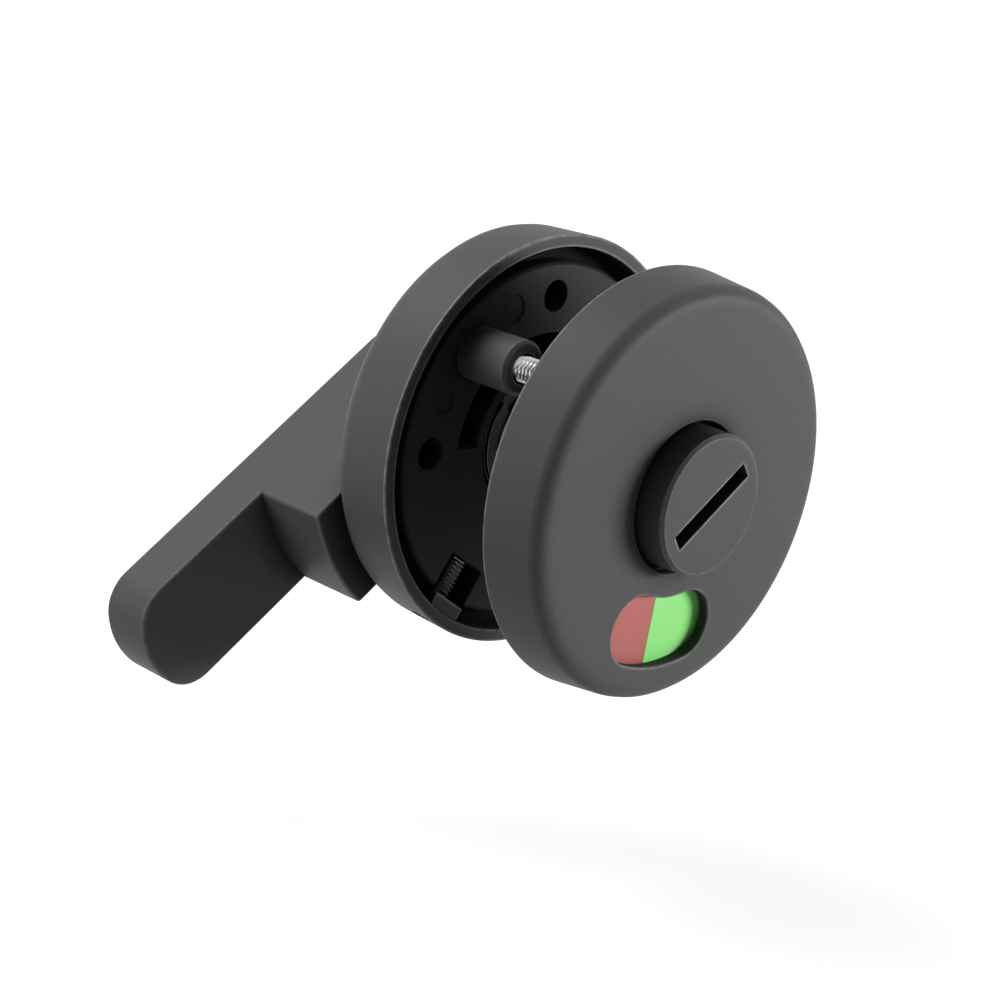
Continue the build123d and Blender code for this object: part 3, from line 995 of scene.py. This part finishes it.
@dataclass
class Lever(SubAssembly):
    """The lever: a block on the rose that steps down to a flat paddle."""

    body = Body.TURN
    kept = (
        ("stop_ring", ZINC_STEEL), ("spring_washer", SPRING_STEEL), ("thrust_washer", SPRING_STEEL),
        ("neck_retaining_ring", SPRING_STEEL), ("spindle", ZINC_STEEL),
    )

    width: float = 19.0
    reach: float = 63.0
    block_reach: float = 35.0
    tip_radius: float = 14.0
    tip_corner: float = 6.5
    front: float = 12.8
    paddle_front: float = 25.5
    rounding: float = 0.45
    neck_radius: float = 8.0
    neck_end: float = 0.9
    neck_sink: float = 0.5
    groove_radius: float = 7.2
    groove_start: float = 1.2
    groove_end: float = 1.9
    neck_break: float = 0.15
    socket_size: float = 5.1
    socket_end: float = 27.3
    key_angle: float = 130.0
    key_width: float = 3.0
    key_depth: float = 1.2
    key_end: float = 9.7
    screw_angle: float = 310.0
    screw_hole: float = 2.05
    screw_y: float = 22.0

    def stretches(self) -> tuple[Outline, Outline, Outline]:
        """The outline's stretches, along the lever and in the direction of growing angles.

        Returns:
            The stretch round the hub between the block's two ends, the one round the tip, and the block's
            round end without its two ends.
        """
        half = self.width / 2
        block_end = math.sqrt(self.block_reach ** 2 - half ** 2)
        hub = [(block_end, half), *arc(half, 90, 270), (block_end, -half)]
        middle = self.reach - self.tip_radius
        corner_z = half - self.tip_corner
        corner_x = math.sqrt((self.tip_radius - self.tip_corner) ** 2 - corner_z ** 2)
        turn = math.degrees(math.atan2(corner_z, corner_x))
        lower = arc(self.tip_corner, -90, -turn, (middle + corner_x, -corner_z))
        tip = arc(self.tip_radius, -turn, turn, (middle, 0))
        upper = arc(self.tip_corner, turn, 90, (middle + corner_x, corner_z))
        turn = math.degrees(math.asin(half / self.block_reach))
        return hub, lower + tip[1:-1] + upper, arc(self.block_reach, -turn, turn)[1:-1]

    def pieces(self) -> Pieces:
        """Makes the handle: the block and paddle with rounded edges, joined with the neck."""
        back = corners_mm("lever")[1].y
        hub, tip, block = (turned_outline(outline, LEVER_ANGLE) for outline in self.stretches())
        solid = Solid()
        faces = solid.mesh.faces
        hub_back, tip_back = solid.loop(hub, back), solid.loop(tip, back)
        hub_step, tip_step = solid.loop(hub, self.paddle_front), solid.loop(tip, self.paddle_front)
        block_step = solid.loop(block, self.paddle_front)
        hub_front, block_front = solid.loop(hub, self.front), solid.loop(block, self.front)
        solid.wall(hub_back + tip_back, hub_step + tip_step)
        solid.wall(hub_step + block_step, hub_front + block_front)
        faces.new(hub_back + tip_back)
        faces.new(hub_front + block_front)
        faces.new([hub_step[-1], *tip_step, hub_step[0], *reversed(block_step)])
        made = solid.piece("lever_handle")
        round_edges(made, self.rounding)
        join(made, self.neck(), Join.UNITE)
        socket = turned_outline(rectangle(self.socket_size, self.socket_size, self.neck_break), LEVER_ANGLE)
        join(made, prism(socket, self.neck_end - MARGIN, self.socket_end), Join.CUT)
        key_way = [
            (x + self.neck_radius, z) for x, z in rectangle(2 * self.key_depth, self.key_width, self.neck_break)
        ]
        key_way = turned_outline(key_way, self.key_angle)
        join(made, prism(key_way, self.neck_end - MARGIN, self.key_end), Join.CUT)
        line = radial_place(self.screw_angle, 0.0, self.screw_y)
        join(made, prism(circle(self.screw_hole), 0.0, self.width, line), Join.CUT)
        yield made, SATIN_BLACK, "lever"

    def neck(self) -> Piece:
        """Builds the round neck that turns in the rose, with its ring groove.

        Returns:
            The neck, which reaches a little into the block.
        """
        soft = self.neck_break
        solid = Solid()
        loops = solid.turned([
            (self.neck_radius - MARGIN, self.neck_end, 0), (self.neck_radius, self.neck_end, soft),
            *groove(self.neck_radius, self.groove_radius, self.groove_start, self.groove_end, soft / 2),
            (self.neck_radius, self.front + self.neck_sink, 0),
        ])
        solid.cap(loops[0])
        solid.cap(loops[-1])
        return solid.piece("neck")


@dataclass
class InnerRose(SubAssembly):
    """The lever side's cover with the boss of its grub screw, and what it covers."""

    body = Body.FIXED
    kept = (("inner_base_plate", BLACK_NYLON), ("hub_bush", WHITE_BEARING), ("cover_guide_ring", BLACK_NYLON))

    taper: float = 0.6
    rounding: float = 3.5
    wall: float = 2.0
    face_wall: float = 2.3
    shoulder: float = 1.3
    shoulder_y: float = 5.4
    edge_break: float = 0.2
    bore: float = 9.63
    flange_room: float = 11.03
    flange_depth: float = 0.8
    boss_length: float = 2.2
    boss_width: float = 7.0
    boss_height: float = 6.6
    screw_angle: float = 242.0
    screw_y: float = 3.6
    screw_hole: float = 2.05

    def pieces(self) -> Pieces:
        """Makes the cover: a cup that is open towards the door."""
        low, high = corners_mm("inner_rose_cover")
        rim, face, radius = low.y, high.y, high.x
        bore, edge = radius - self.wall, radius - self.taper
        shoulder, inside = bore - self.shoulder, face - self.face_wall
        soft = self.edge_break
        solid = Solid()
        solid.turned([
            (self.bore, inside, soft), (shoulder, inside, soft), (shoulder, self.shoulder_y, soft),
            (bore, self.shoulder_y, soft), (bore, rim, soft), (radius, rim, soft), (edge, face, self.rounding),
            (self.flange_room, face, soft), (self.flange_room, face - self.flange_depth, soft / 2),
            (self.bore, face - self.flange_depth, soft / 2),
        ], closed=True)
        made = solid.piece("inner_cover")
        outline = rectangle(self.boss_width, self.boss_height, soft)
        boss = prism(outline, 0.0, self.boss_length + soft, radial_place(
            self.screw_angle, bore - self.boss_length, self.screw_y,
        ))
        join(made, boss, Join.UNITE)
        hole = prism(circle(self.screw_hole), 0.0, radius, radial_place(
            self.screw_angle, shoulder - self.wall, self.screw_y,
        ))
        join(made, hole, Join.CUT)
        yield made, SATIN_BLACK, "inner_rose_cover"


@dataclass
class FixingPillars(SubAssembly):
    """The two tapped pillars on the lever side's base plate."""

    body = Body.FIXED

    radius: float = 4.2
    mouth: float = -8.6
    plate_front: float = 1.0
    plate_back: float = 5.4
    spigot_radius: float = 2.8
    rivet_radius: float = 3.8
    rivet_end: float = 6.6
    end_bevel: float = 0.5
    edge_break: float = 0.12
    bore_end: float = 2.0
    thread: Thread = Thread(crest=2.05, root=2.4)

    def pieces(self) -> Pieces:
        """Makes both pillars as one piece."""
        soft = self.edge_break
        solid = Solid()
        for angle in PILLAR_ANGLES:
            centre = polar(PILLAR_CIRCLE, angle)
            body = solid.turned([
                (self.radius - 2 * self.end_bevel, self.mouth, 0),
                (self.radius - self.end_bevel, self.mouth, soft), (self.radius, self.mouth + self.end_bevel, soft),
                (self.radius, self.plate_front, soft), (self.spigot_radius, self.plate_front, 0),
                (self.spigot_radius, self.plate_back, 0), (self.rivet_radius, self.plate_back, soft),
                (self.rivet_radius, self.rivet_end, 3 * soft), (self.rivet_radius - MARGIN, self.rivet_end, 0),
            ], centre=centre, points=PILLAR_POINTS)
            bore = solid.threaded(self.thread, self.mouth, self.bore_end, centre)
            solid.cap(body[0], bore[0])
            solid.cap(bore[-1])
            solid.cap(body[-1])
        yield solid.piece("pillars"), SATIN_BLACK, "fixing_pillars"


@dataclass
class GrubScrew(SubAssembly):
    """A threaded screw without a head, on a line that leaves the turning axis."""

    piece_name: str
    node: str
    body: Body
    finish: Finish
    angle: float
    start: float
    y: float
    length: float
    socket_size: float = 2.0
    socket_depth: float = 2.0
    tip_radius: float = 1.5
    thread: Thread = Thread(crest=2.0, root=1.62)

    def pieces(self) -> Pieces:
        """Makes the screw."""
        solid = Solid()
        loops = solid.threaded(self.thread, 0.0, self.length)
        tip = solid.loop(circle(self.tip_radius), 0.0)
        bottom = self.length - self.socket_depth
        mouth, floor = solid.walls(hexagon(self.socket_size), [(0, self.length, 0), (0, bottom, 0)])
        solid.mesh.faces.new(floor)
        solid.cap(loops[0], tip)
        solid.mesh.faces.new(tip)
        solid.cap(loops[-1], mouth)
        yield solid.piece(self.piece_name, radial_place(self.angle, self.start, self.y)), self.finish, self.node


@dataclass
class ClampScrews(SubAssembly):
    """The two countersunk screws that draw the roses together through the door."""

    body = Body.FIXED

    face: float = -23.2
    land: float = 0.2
    head_radius: float = 3.8
    head_height: float = 1.8
    length: float = 20.0
    socket_size: float = 2.5
    socket_depth: float = 1.3
    edge_break: float = 0.06
    thread: Thread = Thread(crest=2.0, root=1.62)

    def pieces(self) -> Pieces:
        """Makes both screws as one piece."""
        solid = Solid()
        for angle in PILLAR_ANGLES:
            centre = polar(PILLAR_CIRCLE, angle)
            head = solid.turned([
                (self.head_radius - MARGIN, self.face, 0), (self.head_radius, self.face, self.edge_break),
                (self.head_radius, self.face + self.land, self.edge_break),
                (self.thread.root, self.face + self.head_height, 0),
            ], centre=centre, points=self.thread.points)
            shank = solid.threaded(self.thread, self.face + self.head_height, self.face + self.length, centre)
            outline = [(x + centre[0], z + centre[1]) for x, z in hexagon(self.socket_size)]
            mouth, floor = solid.walls(outline, [(0, self.face, 0), (0, self.face + self.socket_depth, 0)])
            solid.mesh.faces.new(floor)
            solid.cap(head[0], mouth)
            solid.cap(shank[-1])
        yield solid.piece("through_screws"), ZINC_STEEL, "clamp_screws"


def shown_white(tree: Tree) -> Socket:
    """A mask of the rays that show the white surroundings."""
    rays = add_node(tree, "ShaderNodeLightPath").outputs
    seen = maths(tree, "MAXIMUM", rays["Is Camera Ray"], rays["Is Transmission Ray"])
    return maths(tree, "MAXIMUM", seen, rays["Is Glossy Ray"])


@dataclass
class SoftLight:
    """A rectangular studio light that points at the frame's origin."""

    name: str
    direction: Triple
    width: float
    height: float
    power: float
    distance: float = 0.8

    def place(self) -> None:
        """Makes the light."""
        lamp = bpy.data.lights.new(self.name, "AREA")
        lamp.shape = "RECTANGLE"
        lamp.size, lamp.size_y = self.width, self.height
        lamp.energy = self.power
        made = new_object(self.name, lamp)
        way = Vector(self.direction).normalized()
        made.location = way * self.distance
        made.rotation_mode = "QUATERNION"
        made.rotation_quaternion = way.to_track_quat("Z", "Y")


@dataclass
class Studio:
    """The floor, the white surroundings, the lights and the camera."""

    azimuth: float = -48.66
    elevation: float = 13.3
    roll: float = 10.72
    distance: float = 0.3886
    aim: Triple = (0.0003, 0.0061, -0.0113)
    lens: float = 89.4
    near_clip: float = 0.01
    floor_size: float = 4.0
    floor_height: float = -0.064
    floor_colour: Triple = (0.5, 0.5, 0.5)
    near_glow: float = 0.8
    near_radius: float = 0.15
    far_radius: float = 0.9
    ambient: float = 0.02
    lights: tuple[SoftLight, ...] = (
        SoftLight("top_light", (-0.4, 0.5, 0.77), width=0.5, height=0.5, power=5.6),
        SoftLight("front_light", (0.66, -0.75, 0.16), width=0.4, height=0.09, power=5.5),
        SoftLight("back_light", (-0.86, 0.5, 0.1), width=0.5, height=0.14, power=1.1),
    )

    def camera(self) -> None:
        """Sets the camera at the photograph's angle, with its tilt."""
        turn, rise, tilt = (math.radians(value) for value in (self.azimuth, self.elevation, self.roll))
        upright = Matrix.Rotation(turn, 4, "Z") @ Matrix.Rotation(math.pi / 2 - rise, 4, "X")
        place = upright @ Matrix.Rotation(tilt, 4, "Z")
        place.translation = Vector(self.aim) + self.distance * place.col[2].xyz
        data = bpy.data.cameras.new("camera")
        data.lens = self.lens
        data.clip_start = self.near_clip
        made = new_object("camera", data)
        made.matrix_world = place
        bpy.context.scene.camera = made

    def surroundings(self) -> None:
        """Makes the world white where it is seen, and dim where it lights the object."""
        world = bpy.data.worlds.new("surroundings")
        bpy.context.scene.world = world
        tree = emptied_tree(world)
        strength = between(tree, shown_white(tree), self.ambient, 1.0)
        light = add_node(tree, "ShaderNodeBackground", {"Color": WHITE, "Strength": strength})
        add_node(tree, "ShaderNodeOutputWorld", {"Surface": light.outputs[0]})

    def floor(self) -> None:
        """Lays a pale floor below the lowest point that the turning lever reaches."""
        half = self.floor_size / 2
        data = bpy.data.meshes.new("floor")
        corners = ((-half, -half), (half, -half), (half, half), (-half, half))
        data.from_pydata([(x, y, self.floor_height) for x, y in corners], [], [(0, 1, 2, 3)])
        made = new_object("floor", data)
        material = bpy.data.materials.new("floor")
        tree = emptied_tree(material)
        paint = add_node(tree, "ShaderNodeBsdfDiffuse", {"Color": (*self.floor_colour, 1.0)})
        place = add_node(tree, "ShaderNodeTexCoord").outputs["Object"]
        reach = add_node(tree, "ShaderNodeVectorMath", {0: place}, operation="LENGTH")
        level = between(
            tree, reach.outputs["Value"], self.near_glow, 1.0, self.near_radius, self.far_radius, "SMOOTHSTEP",
        )
        strength = maths(tree, "MULTIPLY", level, shown_white(tree))
        glow = add_node(tree, "ShaderNodeEmission", {"Color": WHITE, "Strength": strength})
        both = add_node(tree, "ShaderNodeAddShader", {0: paint.outputs[0], 1: glow.outputs[0]})
        add_node(tree, "ShaderNodeOutputMaterial", {"Surface": both.outputs[0]})
        data.materials.append(material)

    def build(self) -> None:
        """Sets up everything round the object."""
        bpy.context.scene.view_settings.view_transform = "Standard"
        self.surroundings()
        self.floor()
        for light in self.lights:
            light.place()
        self.camera()


def main() -> None:
    """Builds every piece round the frame, then the studio."""
    logging.basicConfig(level=logging.INFO, format="%(name)s: %(message)s")
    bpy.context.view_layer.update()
    dresser = Dresser()
    lever, inner_rose = Lever(), InnerRose()
    lever_screw = GrubScrew(
        "lever_screw", "lever_set_screw", Body.TURN, ZINC_STEEL,
        angle=lever.screw_angle, y=lever.screw_y, start=2.5, length=5.5,
    )
    cover_screw = GrubScrew(
        "cover_screw", "cover_grub_screw", Body.FIXED, SPRING_STEEL,
        angle=inner_rose.screw_angle, y=inner_rose.screw_y, start=21.725, length=9.6,
    )
    parts = (
        OuterRose(), TurnButton(), Indicator(), lever, lever_screw, inner_rose, FixingPillars(),
        ClampScrews(), cover_screw,
    )
    for part in parts:
        part.build(dresser)
    Studio().build()


if __name__ == "__main__":
    main()
